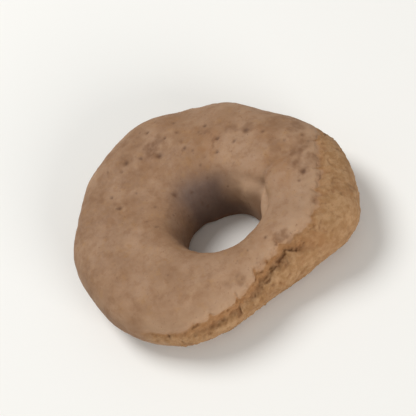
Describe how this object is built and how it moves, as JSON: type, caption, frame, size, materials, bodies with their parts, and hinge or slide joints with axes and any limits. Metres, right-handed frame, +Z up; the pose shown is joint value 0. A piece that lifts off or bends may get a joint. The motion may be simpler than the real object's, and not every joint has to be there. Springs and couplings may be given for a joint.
{
  "type": "tarallo",
  "caption": "Small hard-baked ring of dough with a smooth tan skin, a round off-centre hole and a split golden outer side, flat where it rested in the oven.",
  "frame": {"origin": "middle of the ring's extent, on its flat baked base", "axes": "+Z up out of the smooth face, +X towards the seam and the widest reach of the ring, -Y towards the thin side of the ring"},
  "size_m": [0.0426, 0.0386, 0.011],
  "materials": {
    "baked_dough": null
  },
  "bodies": {
    "root": {"tarallo_ring": "baked_dough"}
  },
  "joints": []
}
